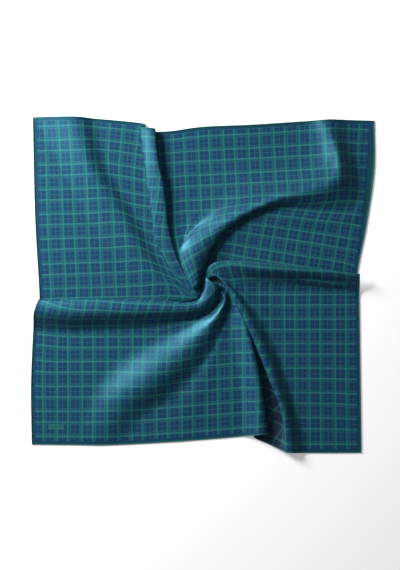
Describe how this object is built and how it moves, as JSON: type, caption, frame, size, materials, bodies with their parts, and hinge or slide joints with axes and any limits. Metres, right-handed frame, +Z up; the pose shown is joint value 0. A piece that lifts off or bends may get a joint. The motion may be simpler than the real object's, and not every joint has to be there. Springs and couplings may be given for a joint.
{
  "type": "silk scarf",
  "caption": "Square silk scarf laid out flat and gathered at its centre, with curved folds running from a swirl to the middle of each side.",
  "frame": {"origin": "centre of the scarf's outline, on the surface that it lies on", "axes": "+Z up from the surface; +Y towards the hem with the stepped fold edge; +X to the right seen from above"},
  "size_m": [0.8178, 0.8001, 0.0349],
  "materials": {
    "silk": "satin"
  },
  "bodies": {
    "root": {"scarf": "silk"}
  },
  "joints": []
}
